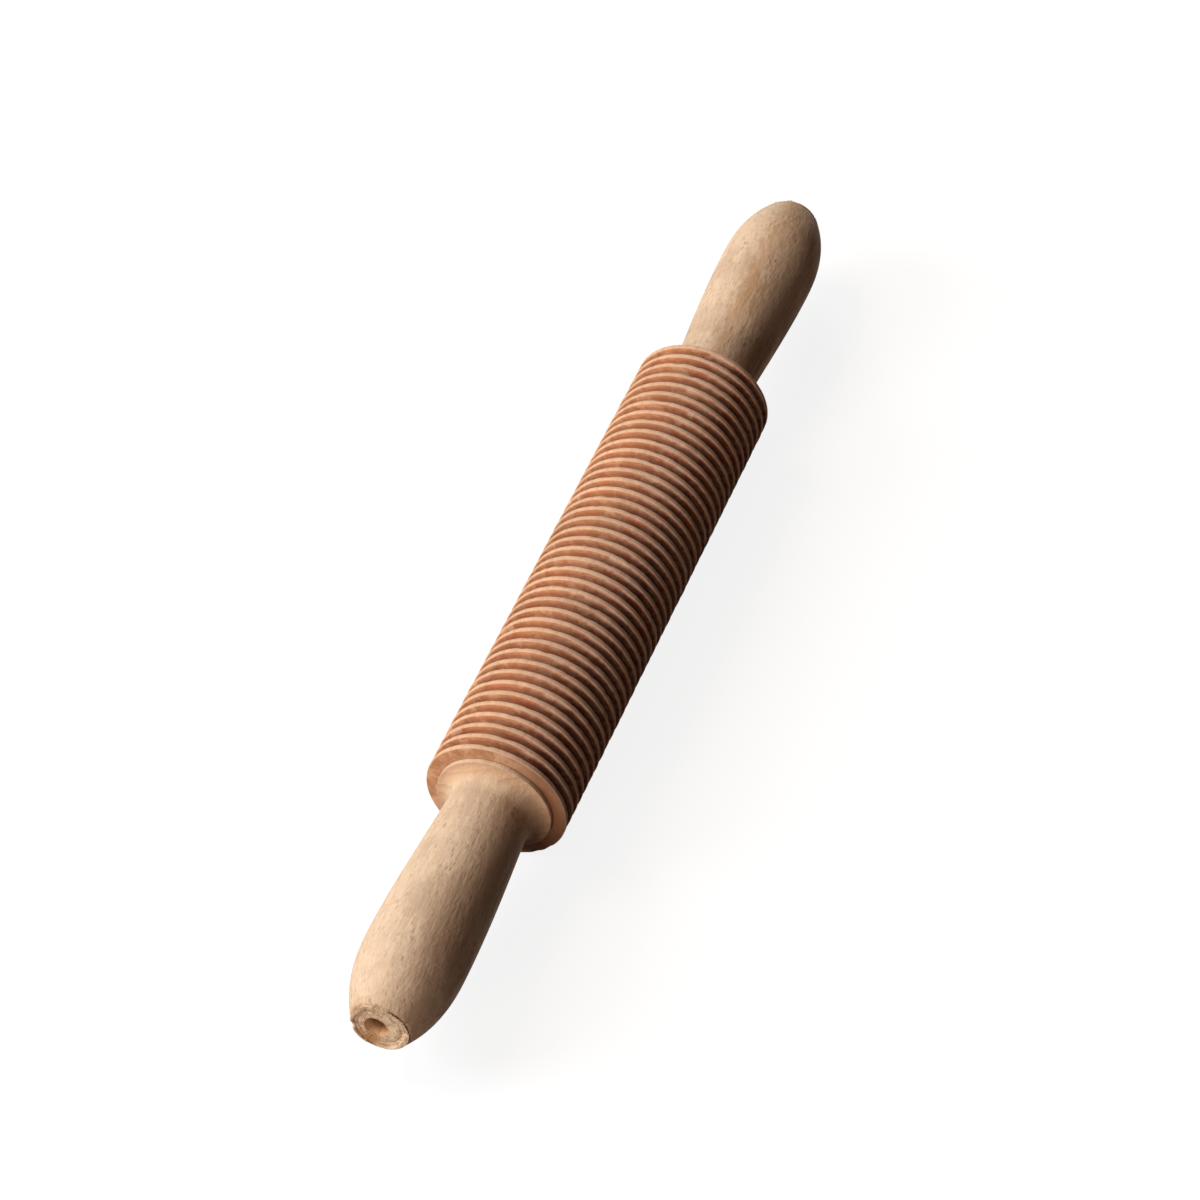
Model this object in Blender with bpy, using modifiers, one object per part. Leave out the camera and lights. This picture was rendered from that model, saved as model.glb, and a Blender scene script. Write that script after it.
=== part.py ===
"""A pasta cutter rolling pin: a ribbed beech roller that turns on a steel axle between two turned handles.

Metres, +Z up. The pin lies along X with its middle at the origin. Each end piece is drawn once and used
at both ends. Every piece but the screws' sockets is a turned shape, drawn as an outline of (radius, distance
from the middle of the pin) and swept round the pin's axis.
"""

import math

import bpy
from mathutils import Matrix

# Roundness and fits
FACETS = 24
SEAT_GAP = 0.0003
ROLLER_END_GAP = 0.0005
MERGE_DISTANCE = 0.00001
SHARP_ANGLE = math.radians(35)

# Roller: a row of rings with the end rings flush with the roller's end faces
RING_COUNT = 41
RING_PITCH = 0.0040
RING_TOP_WIDTH = 0.0016
RING_ROOT_WIDTH = 0.0020
ROLLER_RADIUS = 0.0200
GROOVE_DEPTH = 0.0035

# Axle, a plain rod with tapped ends
AXLE_RADIUS = 0.0030
AXLE_CHAMFER = 0.0004
AXLE_HOLE_CLEARANCE = 0.0008
AXLE_RUNNING_CLEARANCE = 0.0003

# Bush, a flanged sleeve sunk in each end of the roller
BUSH_WALL = 0.0020
BUSH_SLEEVE_LENGTH = 0.0120
BUSH_FLANGE_RADIUS = 0.0080
BUSH_FLANGE_THICKNESS = 0.0015

# Thrust washer between the bush's flange and the handle
WASHER_RADIUS = 0.0075
WASHER_THICKNESS = 0.0010

# Handle, from its collar at the roller to its flat tip
HANDLE_LENGTH = 0.0787
COLLAR_RADIUS = 0.0162
COLLAR_THICKNESS = 0.0010
COLLAR_FILLET_LENGTH = 0.0050
NECK_RADIUS = 0.0116
NECK_SLOPE = 0.065
BELLY_RADIUS = 0.01405
BELLY_FROM_TIP = 0.0237
TIP_RADIUS = 0.0083
TIP_SLOPE = -0.60
FILLET_STEPS = 5
NECK_STEPS = 9
TIP_STEPS = 7

# Screw that holds the handle on the axle, and the hole in the handle's end that it goes in by
END_HOLE_DEPTH = 0.0120
END_HOLE_CLEARANCE = 0.0002
WEB_THICKNESS = 0.0080
SCREW_RADIUS = 0.0015
SCREW_REACH = 0.0080
TAPPED_RUN_OUT = 0.0020
SCREW_HEAD_RADIUS = 0.0027
SCREW_HEAD_HEIGHT = 0.0030
SCREW_EDGE = 0.0003
SOCKET_ACROSS_FLATS = 0.0025
SOCKET_DEPTH = 0.0013

# Places along the pin, from its middle out to the tip of a handle
ROLLER_END = ((RING_COUNT - 1) * RING_PITCH + RING_TOP_WIDTH) / 2
HANDLE_START = ROLLER_END + ROLLER_END_GAP
HANDLE_END = HANDLE_START + HANDLE_LENGTH
WASHER_OUTER = HANDLE_START - SEAT_GAP
WASHER_INNER = WASHER_OUTER - WASHER_THICKNESS
FLANGE_OUTER = WASHER_INNER - SEAT_GAP
FLANGE_INNER = FLANGE_OUTER - BUSH_FLANGE_THICKNESS
BUSH_INNER = FLANGE_INNER - BUSH_SLEEVE_LENGTH
WEB_OUTER = HANDLE_END - END_HOLE_DEPTH
WEB_INNER = WEB_OUTER - WEB_THICKNESS
AXLE_END = WEB_INNER - SEAT_GAP

# Radii that follow from the fits
BUSH_BORE_RADIUS = AXLE_RADIUS + AXLE_RUNNING_CLEARANCE
SLEEVE_RADIUS = BUSH_BORE_RADIUS + BUSH_WALL
END_HOLE_RADIUS = SCREW_HEAD_RADIUS + END_HOLE_CLEARANCE
TAPPED_RADIUS = SCREW_RADIUS + SEAT_GAP


def clear_scene():
    for item in list(bpy.data.objects):
        bpy.data.objects.remove(item, do_unlink=True)


def new_collection(name):
    collection = bpy.data.collections.new(name)
    bpy.context.scene.collection.children.link(collection)
    return collection


def new_material(name, colour, roughness, metallic=0.0):
    material = bpy.data.materials.new(name)
    material.use_nodes = True
    shader = material.node_tree.nodes["Principled BSDF"]
    shader.inputs["Base Color"].default_value = (*colour, 1.0)
    shader.inputs["Roughness"].default_value = roughness
    shader.inputs["Metallic"].default_value = metallic
    return material


def eased_radius(start, end, start_slope, end_slope, length, share):
    """The radius at a share of the way between two stations that are joined by one cubic curve."""
    square = share * share
    cube = square * share
    return (
        start * (2 * cube - 3 * square + 1)
        + end * (3 * square - 2 * cube)
        + start_slope * length * (cube - 2 * square + share)
        + end_slope * length * (cube - square)
    )


def turned_mesh(name, outline, material, closed=True):
    """Sweep an outline round Z, with a flat facet, and not an edge, facing +X."""
    links = [(i, i + 1) for i in range(len(outline) - 1)]
    if closed:
        links.append((len(outline) - 1, 0))
    line = bpy.data.meshes.new(name + "_outline")
    line.from_pydata([(radius, 0.0, along) for radius, along in outline], links, [])
    holder = bpy.data.objects.new(name + "_outline", line)
    bpy.context.scene.collection.objects.link(holder)

    sweep = holder.modifiers.new("sweep", "SCREW")
    sweep.axis = "Z"
    sweep.angle = math.tau
    sweep.steps = FACETS
    sweep.render_steps = FACETS
    sweep.use_merge_vertices = True
    sweep.merge_threshold = MERGE_DISTANCE

    swept = holder.evaluated_get(bpy.context.evaluated_depsgraph_get())
    mesh = bpy.data.meshes.new_from_object(swept)
    mesh.name = name
    mesh.transform(Matrix.Rotation(math.pi / FACETS, 4, "Z"))
    mesh.shade_smooth()
    mesh.set_sharp_from_angle(angle=SHARP_ANGLE)
    mesh.materials.append(material)
    bpy.data.objects.remove(holder, do_unlink=True)
    return mesh


def place(name, mesh, collection, frame, at_left=False):
    """Hang a piece on a frame. A left piece is the right one turned end for end."""
    piece = bpy.data.objects.new(name, mesh)
    piece.parent = frame
    piece.rotation_euler.x = math.pi if at_left else 0.0
    collection.objects.link(piece)
    return piece


def new_frame(name, collection):
    """An empty on the pin's axis whose Z runs along the pin, towards +X."""
    frame = bpy.data.objects.new(name, None)
    frame.rotation_euler.y = math.pi / 2
    frame.empty_display_size = ROLLER_RADIUS
    collection.objects.link(frame)
    return frame


def roller_outline():
    """Down the rings, then back up through the bore and the stepped seats of the two bushes."""
    root_radius = ROLLER_RADIUS - GROOVE_DEPTH
    rings = []
    for ring in range(RING_COUNT):
        middle = ROLLER_END - RING_TOP_WIDTH / 2 - ring * RING_PITCH
        rings.append((root_radius, middle + RING_ROOT_WIDTH / 2))
        rings.append((ROLLER_RADIUS, middle + RING_TOP_WIDTH / 2))
        rings.append((ROLLER_RADIUS, middle - RING_TOP_WIDTH / 2))
        rings.append((root_radius, middle - RING_ROOT_WIDTH / 2))
    outside = rings[1:-1]

    hole_radius = AXLE_RADIUS + AXLE_HOLE_CLEARANCE
    sleeve_seat_radius = SLEEVE_RADIUS + SEAT_GAP
    sleeve_seat_end = BUSH_INNER - SEAT_GAP
    flange_seat_radius = BUSH_FLANGE_RADIUS + SEAT_GAP
    flange_seat_end = FLANGE_INNER - SEAT_GAP
    seat = [
        (hole_radius, sleeve_seat_end),
        (sleeve_seat_radius, sleeve_seat_end),
        (sleeve_seat_radius, flange_seat_end),
        (flange_seat_radius, flange_seat_end),
        (flange_seat_radius, ROLLER_END),
    ]
    opposite_seat = [(radius, -along) for radius, along in reversed(seat)]
    return outside + opposite_seat + seat


def axle_outline():
    """Down the rod from the floor of one tapped hole to the floor of the other."""
    tapped_floor = AXLE_END - SCREW_REACH - TAPPED_RUN_OUT
    top = [
        (0.0, tapped_floor),
        (TAPPED_RADIUS, tapped_floor),
        (TAPPED_RADIUS, AXLE_END),
        (AXLE_RADIUS - AXLE_CHAMFER, AXLE_END),
        (AXLE_RADIUS, AXLE_END - AXLE_CHAMFER),
    ]
    bottom = [(radius, -along) for radius, along in reversed(top)]
    return top + bottom


def bush_outline():
    return [
        (BUSH_FLANGE_RADIUS, FLANGE_OUTER),
        (BUSH_FLANGE_RADIUS, FLANGE_INNER),
        (SLEEVE_RADIUS, FLANGE_INNER),
        (SLEEVE_RADIUS, BUSH_INNER),
        (BUSH_BORE_RADIUS, BUSH_INNER),
        (BUSH_BORE_RADIUS, FLANGE_OUTER),
    ]


def washer_outline():
    bore_radius = AXLE_RADIUS + SEAT_GAP
    return [
        (WASHER_RADIUS, WASHER_OUTER),
        (WASHER_RADIUS, WASHER_INNER),
        (bore_radius, WASHER_INNER),
        (bore_radius, WASHER_OUTER),
    ]


def handle_outline():
    """Down the outside from the tip to the collar, then back up through the axle's, screw's and end holes."""
    collar_back = HANDLE_START + COLLAR_THICKNESS
    neck = collar_back + COLLAR_FILLET_LENGTH
    belly = HANDLE_END - BELLY_FROM_TIP

    outside = []
    for step in range(TIP_STEPS):
        share = 1 - step / TIP_STEPS
        radius = eased_radius(BELLY_RADIUS, TIP_RADIUS, 0.0, TIP_SLOPE, BELLY_FROM_TIP, share)
        outside.append((radius, belly + share * BELLY_FROM_TIP))
    for step in range(NECK_STEPS):
        share = 1 - step / NECK_STEPS
        radius = eased_radius(NECK_RADIUS, BELLY_RADIUS, NECK_SLOPE, 0.0, belly - neck, share)
        outside.append((radius, neck + share * (belly - neck)))
    for step in range(FILLET_STEPS + 1):
        turn = math.pi / 2 * (1 - step / FILLET_STEPS)
        radius = COLLAR_RADIUS - (COLLAR_RADIUS - NECK_RADIUS) * math.sin(turn)
        outside.append((radius, neck - COLLAR_FILLET_LENGTH * math.cos(turn)))
    outside.append((COLLAR_RADIUS, HANDLE_START))

    axle_hole_radius = AXLE_RADIUS + SEAT_GAP
    inside = [
        (axle_hole_radius, HANDLE_START),
        (axle_hole_radius, WEB_INNER),
        (TAPPED_RADIUS, WEB_INNER),
        (TAPPED_RADIUS, WEB_OUTER),
        (END_HOLE_RADIUS, WEB_OUTER),
        (END_HOLE_RADIUS, HANDLE_END),
    ]
    return outside + inside


def screw_outline():
    """Down the screw from the top of its head, which sits on the handle's web, to its tip in the axle."""
    head_seat = WEB_OUTER + SEAT_GAP
    head_top = head_seat + SCREW_HEAD_HEIGHT
    tip = AXLE_END - SCREW_REACH
    return [
        (0.0, head_top),
        (SCREW_HEAD_RADIUS - SCREW_EDGE, head_top),
        (SCREW_HEAD_RADIUS, head_top - SCREW_EDGE),
        (SCREW_HEAD_RADIUS, head_seat),
        (SCREW_RADIUS, head_seat),
        (SCREW_RADIUS, tip + SCREW_EDGE),
        (SCREW_RADIUS - SCREW_EDGE, tip),
        (0.0, tip),
    ]


def cut_socket(screw, frame, cutters, at_left):
    """Sink the hexagon of a driver into the screw's head."""
    head_top = WEB_OUTER + SEAT_GAP + SCREW_HEAD_HEIGHT
    corner_radius = SOCKET_ACROSS_FLATS / math.sqrt(3)
    bpy.ops.mesh.primitive_cylinder_add(vertices=6, radius=corner_radius, depth=2 * SOCKET_DEPTH)
    cutter = bpy.context.object
    cutter.name = screw.name + "_socket"
    cutter.parent = frame
    cutter.location.z = -head_top if at_left else head_top
    cutter.hide_render = True
    cutter.display_type = "WIRE"
    for collection in list(cutter.users_collection):
        collection.objects.unlink(cutter)
    cutters.objects.link(cutter)

    cut = screw.modifiers.new("socket", "BOOLEAN")
    cut.operation = "DIFFERENCE"
    cut.solver = "EXACT"
    cut.object = cutter


def build():
    clear_scene()
    pin = new_collection("pasta_cutter_rolling_pin")
    cutters = new_collection("cutters")

    roller_wood = new_material("roller_beech", (0.55, 0.27, 0.14), 0.62)
    handle_wood = new_material("handle_beech", (0.70, 0.50, 0.33), 0.58)
    steel = new_material("bright_steel", (0.56, 0.56, 0.57), 0.32, metallic=1.0)
    nylon = new_material("white_nylon", (0.80, 0.79, 0.75), 0.45)

    held = new_frame("held_pieces", pin)
    turning = new_frame("turning_pieces", pin)

    place("roller", turned_mesh("roller", roller_outline(), roller_wood), pin, turning)
    place("axle", turned_mesh("axle", axle_outline(), steel, closed=False), pin, held)

    bush = turned_mesh("bush", bush_outline(), nylon)
    washer = turned_mesh("thrust_washer", washer_outline(), steel)
    handle = turned_mesh("handle", handle_outline(), handle_wood)
    screw = turned_mesh("handle_screw", screw_outline(), steel, closed=False)
    for side, at_left in (("left", True), ("right", False)):
        place(side + "_bush", bush, pin, turning, at_left)
        place(side + "_thrust_washer", washer, pin, held, at_left)
        place(side + "_handle", handle, pin, held, at_left)
        fitted_screw = place(side + "_handle_screw", screw, pin, held, at_left)
        cut_socket(fitted_screw, held, cutters, at_left)


build()
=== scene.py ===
# %% [markdown]
# # A pasta cutter rolling pin in turned beech
#
# The pin has a reddish roller with forty-one rings that cut a sheet of dough into strands. It turns on
# a steel axle between two pale handles. The three wooden pieces were made on a lathe, so each of them
# is drawn here as an outline that is swept once round the pin's axis. A swept outline is too perfect
# to pass for wood, so the lesson then adds what a turner's hands and the wood itself leave behind:
# rings that differ a little, edges that chip, torn fibres where the handle was parted off, and grain
# that runs straight through each piece.

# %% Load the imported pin
import math
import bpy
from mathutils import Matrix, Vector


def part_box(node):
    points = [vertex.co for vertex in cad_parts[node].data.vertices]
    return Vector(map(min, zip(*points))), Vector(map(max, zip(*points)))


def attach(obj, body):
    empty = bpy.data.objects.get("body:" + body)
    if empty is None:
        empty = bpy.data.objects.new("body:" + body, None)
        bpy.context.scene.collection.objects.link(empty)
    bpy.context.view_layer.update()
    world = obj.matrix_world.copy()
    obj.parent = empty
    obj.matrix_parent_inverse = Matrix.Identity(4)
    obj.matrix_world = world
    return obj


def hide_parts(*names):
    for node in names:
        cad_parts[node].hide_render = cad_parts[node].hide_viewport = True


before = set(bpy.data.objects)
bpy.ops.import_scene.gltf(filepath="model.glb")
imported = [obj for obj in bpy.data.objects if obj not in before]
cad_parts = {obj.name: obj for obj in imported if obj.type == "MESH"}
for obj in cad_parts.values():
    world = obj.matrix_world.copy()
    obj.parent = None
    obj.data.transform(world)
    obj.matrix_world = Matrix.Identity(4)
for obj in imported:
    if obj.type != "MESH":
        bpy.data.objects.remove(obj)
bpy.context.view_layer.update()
print("nodes:", sorted(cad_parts))

# %% [markdown]
# ## Sizes come from the solid model
#
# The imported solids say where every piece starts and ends. Reading those places from the solids, and not
# typing them again, keeps the dressed pieces on the ones that they stand for. Their round surfaces have
# 24 flat facets, so a radius is measured to the corners of the facets and not to the box round them. The
# pieces are drawn in millimetres, and their points become metres only when a mesh is made.

# %% Read the main sizes
import bmesh
import bpy
import numpy as np
from mathutils import Vector

MM = 0.001


def radius_of(node):
    """How far a node's outermost corner is from the pin's axis."""
    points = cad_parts[node].data.vertices
    return max(math.hypot(point.co.y, point.co.z) for point in points) / MM


roller_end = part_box("roller")[1][0] / MM
roller_radius = radius_of("roller")
handle_start, handle_end = (side[0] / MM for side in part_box("right_handle"))
collar_radius = radius_of("right_handle")
print("the roller reaches", round(roller_end, 2), "mm and is", round(2 * roller_radius, 2), "mm across")
print("a handle runs from", round(handle_start, 2), "to", round(handle_end, 2), "mm")

# %% [markdown]
# ## Two tools that every wooden piece shares
#
# No edge of a wooden piece is sharp once it has been sanded. The first tool takes an outline of corners,
# each with the distance at which its rounding starts, and puts a short curve in place of each corner.
# The second one sweeps the outline round the axis. It works on whole tables of numbers, one row for each
# point of the outline and one column for each step round, so that a later step can push single places of
# the surface in or out. It also lays the surface out flat in a map, as a label is peeled off a jar, which
# keeps later textures sharp.

# %% Soften the corners of an outline


def soften(corners, steps=3):
    """Put a curve in place of each corner (along, radius, distance back from the corner)."""
    outline = []
    for index, (along, radius, back) in enumerate(corners):
        if back == 0:
            outline.append((along, radius))
            continue
        here = np.array((along, radius))
        before = np.array(corners[index - 1][:2], dtype=float) - here
        after = np.array(corners[(index + 1) % len(corners)][:2], dtype=float) - here
        before *= min(back / np.linalg.norm(before), 0.48)
        after *= min(back / np.linalg.norm(after), 0.48)
        for step in range(steps + 1):
            share = step / steps
            point = here + (1 - share) ** 2 * before + share**2 * after
            outline.append(tuple(point))
    return outline


sample = soften([(0.0, 0.0, 0.1), (1.0, 0.0, 0.1), (1.0, 1.0, 0.1), (0.0, 1.0, 0.1)])
print("a softened square has", len(sample), "points")

# %% Sweep an outline round the axis


def unroll(mesh, outline, columns, closed):
    """Lay the swept surface out flat: once round runs across a column of the map, the outline up it."""
    path = np.vstack([outline, outline[:1]])
    steps = np.linalg.norm(np.diff(path, axis=0), axis=1)
    height = np.concatenate([[0.0], np.cumsum(steps)])
    around = math.tau * float(np.median(outline[:, 1]))
    strips = max(1, round(math.sqrt(height[-1] / around)))
    rows = len(outline) if closed else len(outline) - 1
    per_strip = height[rows] / strips
    strip = np.minimum(height[:rows] // per_strip, strips - 1)
    low = (height[:rows] - strip * per_strip) / per_strip
    high = (height[1 : rows + 1] - strip * per_strip) / per_strip
    tallest = high.max()
    gap = 0.004
    left = np.arange(columns) / columns
    right = np.arange(1, columns + 1) / columns
    u = np.stack([left, right, right, left], axis=1)[None].repeat(rows, axis=0)
    v = np.stack([low, low, high, high], axis=1)[:, None].repeat(columns, axis=1) / tallest
    u = (strip[:, None, None] + gap + u * (1 - 2 * gap)) / strips
    v = gap + v * (1 - 2 * gap)
    layer = mesh.uv_layers.new(name="OFBake")
    layer.uv.foreach_set("vector", np.stack([u, v], axis=3).astype(np.float32).ravel())


def turned_piece(name, outline, columns, reshape=None, closed=True):
    """Sweep an outline round X. reshape may move any point of the tables (along, radius, turn)."""
    outline = np.array(outline)
    following = np.roll(outline, -1, axis=0)
    area = np.sum(outline[:, 0] * following[:, 1] - following[:, 0] * outline[:, 1])
    if area < 0:
        outline = outline[::-1]
    rows = len(outline)
    along = outline[:, :1].repeat(columns, axis=1)
    radius = outline[:, 1:].repeat(columns, axis=1)
    turn = (np.arange(columns) * math.tau / columns)[None].repeat(rows, axis=0)
    if reshape:
        along, radius = reshape(along, radius, turn)
    points = np.stack([along, radius * np.sin(turn), radius * np.cos(turn)], axis=2) * MM

    corner = np.arange(rows * columns).reshape(rows, columns)
    beside = np.roll(corner, -1, axis=1)
    above = np.roll(corner, -1, axis=0)
    across = np.roll(above, -1, axis=1)
    faces = np.stack([corner, beside, across, above], axis=2)
    if not closed:
        faces = faces[:-1]
    mesh = bpy.data.meshes.new(name)
    mesh.from_pydata(points.reshape(-1, 3).tolist(), [], faces.reshape(-1, 4).tolist())
    unroll(mesh, outline, columns, closed)
    mesh.shade_smooth()
    piece = bpy.data.objects.new(name, mesh)
    bpy.context.scene.collection.objects.link(piece)
    print(name, "has", len(mesh.vertices), "points and", len(mesh.polygons), "faces")
    return piece, outline


def mark(piece, name, values):
    """Store one number for each point of a piece, for its material to read."""
    layer = piece.data.attributes.new(name, "FLOAT", "POINT")
    layer.data.foreach_set("value", np.asarray(values, dtype=np.float32).ravel())


def mark_end_grain(piece):
    """Wood shows its cut fibres where the surface faces along the pin: 1 there, 0 along the sides."""
    normals = np.zeros(3 * len(piece.data.vertices), dtype=np.float32)
    piece.data.vertices.foreach_get("normal", normals)
    facing = np.abs(normals.reshape(-1, 3)[:, 0])
    mark(piece, "end_grain", facing)
    print(piece.name, "shows end grain on", round(100 * float((facing > 0.7).mean())), "% of its points")


# %% [markdown]
# ## Unevenness that closes on itself
#
# Whatever is pushed in or out round a turned piece has to meet itself after one turn, or a seam shows.
# A sum of waves that each fit a whole number of times round the piece does that. The numbers come from a
# seeded source, so the same chips are in the same places each time that the script runs.

# %% Waves round the axis


def waves(turn, counts, dice):
    """A random unevenness of about 1 that fits a whole number of times into a turn."""
    total = np.zeros_like(turn)
    for count in counts:
        total += dice.normal() * np.cos(count * turn + dice.uniform(0, math.tau))
    return total / math.sqrt(len(counts))


def hump(distance, width):
    """1 at a distance of 0, and close to 0 past the width."""
    return np.exp(-((distance / width) ** 2))


def hump_round(turn, place, width):
    """The same for a place round the piece, where the distance is an angle, the short way round."""
    return hump((turn - place + math.pi) % math.tau - math.pi, width)


one_turn = np.linspace(0, math.tau, 361)
trial = waves(one_turn, range(2, 9), np.random.default_rng(1))
print("the seam of a trial wave is off by", abs(float(trial[0] - trial[-1])))

# %% [markdown]
# ## The roller
#
# On the real pin a comb of cutters sank forty narrow grooves into a plain cylinder and left forty-one
# rings standing, 4 mm apart, that lean in a little towards their tops. The outline below goes down one
# ring and up the next. Sandpaper has made a low dome of each ring's top, so its edges are rounded by a
# third of a millimetre, and the bottom of each groove has the small fillet of a cutter's worn corner. The
# roller is bored through for the axle, with a stepped seat for a bush at each end.

# %% Draw the roller's outline
ring_count = 41
end_ring_width = 1.6
ring_pitch = (2 * roller_end - end_ring_width) / (ring_count - 1)
ring_top = 1.46
ring_root = 2.0
groove_depth = 3.5
edge_rounding = 0.34
root_fillet = 0.35
flank_support = 0.45
bore_radius = 3.8
bush_seat_radius = 5.6
bush_seat_floor = 65.9
flange_seat_radius = 8.3
flange_seat_floor = 77.9
seat_rounding = 0.2
roller_columns = 160
print("ring pitch", round(ring_pitch, 3), "mm")


def ring_middle(ring):
    """Where a ring's middle lies along the pin. Ring 0 is the one at the right end."""
    return roller_end - end_ring_width / 2 - ring * ring_pitch


def nearest_ring(along):
    """The number of the ring that each place along the pin belongs to."""
    return np.clip(np.round((ring_middle(0) - along) / ring_pitch), 0, ring_count - 1).astype(int)


def roller_outline():
    """Down the rings, then back through the bore and the seats of the two bushes."""
    root = roller_radius - groove_depth
    shoulder = roller_radius - flank_support - edge_rounding
    flank_lean = (ring_root - ring_top) / 2 * flank_support / groove_depth
    outside = []
    for ring in range(ring_count):
        middle = ring_middle(ring)
        outside.append((middle + ring_root / 2, root, root_fillet))
        outside.append((middle + ring_top / 2 + flank_lean, shoulder, 0))
        outside.append((middle + ring_top / 2, roller_radius, edge_rounding))
        outside.append((middle - ring_top / 2, roller_radius, edge_rounding))
        outside.append((middle - ring_top / 2 - flank_lean, shoulder, 0))
        outside.append((middle - ring_root / 2, root, root_fillet))
    # The outermost rings have a flat end face in place of a groove.
    outside = outside[1:-1]
    outside[0] = (roller_end, shoulder, 0)
    outside[1] = (roller_end, roller_radius, edge_rounding)
    outside[-2] = (-roller_end, roller_radius, edge_rounding)
    outside[-1] = (-roller_end, shoulder, 0)
    seat = [
        (bush_seat_floor, bore_radius, seat_rounding),
        (bush_seat_floor, bush_seat_radius, 0),
        (flange_seat_floor, bush_seat_radius, seat_rounding),
        (flange_seat_floor, flange_seat_radius, 0),
        (roller_end, flange_seat_radius, seat_rounding),
    ]
    other_seat = [(-along, radius, back) for along, radius, back in reversed(seat)]
    return soften(outside + other_seat + seat, steps=2)


print("the roller's outline has", len(roller_outline()), "points")

# %% [markdown]
# Each ring then gets its own small faults. It stands a few hundredths of a millimetre higher or lower
# than its neighbours, it leans a little, its edges wander, and here and there a splinter has broken out
# of an edge. Beech breaks along its fibres, and the fibres cross each ring from side to side, so a chip is
# short, and it is deeper across the edge than it is long.

# %% Give each ring its own faults
roller_dice = np.random.default_rng(41)
ring_lift = 0.02
ring_wave = 0.03
ring_lean = 0.04
edge_wander = 0.03
edge_reach = 0.42
chips_per_edge = 5
chip_half_lengths = (0.5, 1.7)
chip_depths = (0.05, 0.26)


def wear_rings(along, radius, turn):
    """Move the points of the rings a little, and break splinters out of their edges."""
    root = roller_radius - groove_depth
    outer = radius > root - 0.01
    ring_of = nearest_ring(along)
    height = np.clip((radius - root) / groove_depth, 0, 1) * outer
    new_along = along.copy()
    new_radius = radius.copy()
    columns = turn.shape[1]
    round_once = turn[0]
    for ring in range(ring_count):
        rows = np.where((ring_of[:, 0] == ring) & outer[:, 0])[0]
        lift = ring_lift * roller_dice.normal() + ring_wave * waves(round_once, range(1, 6), roller_dice)
        lean = ring_lean * waves(round_once, range(1, 5), roller_dice)
        new_radius[rows] += height[rows] * lift
        new_along[rows] += height[rows] * lean
        for side in (-1, 1):
            edge_place = ring_middle(ring) + side * ring_top / 2
            from_edge = np.hypot(along[rows] - edge_place, radius[rows] - roller_radius)
            near_edge = hump(from_edge, edge_reach)
            wander = edge_wander * waves(round_once, range(12, 48, 3), roller_dice)
            missing = np.zeros(columns)
            for _ in range(chips_per_edge):
                middle = roller_dice.uniform(0, math.tau)
                half_angle = roller_dice.uniform(*chip_half_lengths) / roller_radius
                depth = roller_dice.uniform(*chip_depths)
                missing = np.maximum(missing, depth * hump_round(round_once, middle, half_angle))
            new_radius[rows] -= near_edge * (0.7 * missing + np.abs(wander) * 0.5)
            new_along[rows] -= side * near_edge * (0.9 * missing + wander)
    return new_along, new_radius


roller, roller_points = turned_piece("ringed_roller", roller_outline(), roller_columns, wear_rings)
print("splinters broken out of the rings:", ring_count * 2 * chips_per_edge)

# %% Mark the roller's depth, edges and rings
on_end_face = np.abs(roller_points[:, 0]) > roller_end - 0.02
ring_of = nearest_ring(roller_points[:, 0])
ring_side = np.abs(roller_points[:, 0] - ring_middle(ring_of))
from_edge = np.hypot(ring_side - ring_top / 2, roller_points[:, 1] - roller_radius)
roller_marks = {
    "depth": np.clip((roller_radius - roller_points[:, 1]) / groove_depth, 0, 1) * (1 - on_end_face),
    "ring_edge": hump(from_edge, 0.28),
    "ring_shade": np.random.default_rng(7).normal(0, 1, ring_count)[ring_of],
    "end_face": on_end_face,
}
for name, values in roller_marks.items():
    mark(roller, name, values.repeat(roller_columns))
mark_end_grain(roller)
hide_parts("roller")
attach(roller, "roller_and_bushes")
print("the roller's box in mm:", [round(side / MM, 2) for side in roller.dimensions])

# %% [markdown]
# ## The handles
#
# A handle starts with a thin collar, whose face is hollowed so that its rim closes against the roller. It
# flows through a hollow fillet into a neck, swells to a belly that fills the palm and falls away to a
# flat tip. Two easy curves that meet at the belly give that line. The turner parted each handle off its
# blank at the tip and left the cut as it was, half a millimetre long: an outer lip of torn fibres, a
# slightly sunken face with the rings of the parting tool, and a rough hole through which the screw goes
# in. Those last few millimetres get many more points than the smooth body.

# %% Draw a handle's outline
rim_gap = 0.18
rim_start = roller_end + rim_gap
collar_back = handle_start + 1.0
neck = collar_back + 5.0
neck_radius = 11.6
belly = handle_end - 23.7
belly_radius = 14.05
tip_radius = 8.3
tip_end = handle_end + 0.6
lip_radius = 7.8
face_radius = 6.8
groove_radius = 6.3
hole_radius = 2.9
screw_hole_radius = 1.8
axle_hole_radius = 3.3
web_outer = handle_end - 12.0
web_inner = web_outer - 8.0


def eased(start, end, start_slope, end_slope, length, share):
    """The radius at a share of the way along one smooth curve."""
    square = share * share
    cube = square * share
    return (
        start * (2 * cube - 3 * square + 1)
        + end * (3 * square - 2 * cube)
        + start_slope * length * (cube - 2 * square + share)
        + end_slope * length * (cube - square)
    )


def body_radius(along):
    """The handle's radius between its neck and its tip."""
    if along < belly:
        return eased(neck_radius, belly_radius, 0.065, 0.0, belly - neck, (along - neck) / (belly - neck))
    share = (along - belly) / (handle_end - belly)
    return eased(belly_radius, tip_radius, 0.0, -0.60, handle_end - belly, share)


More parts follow.
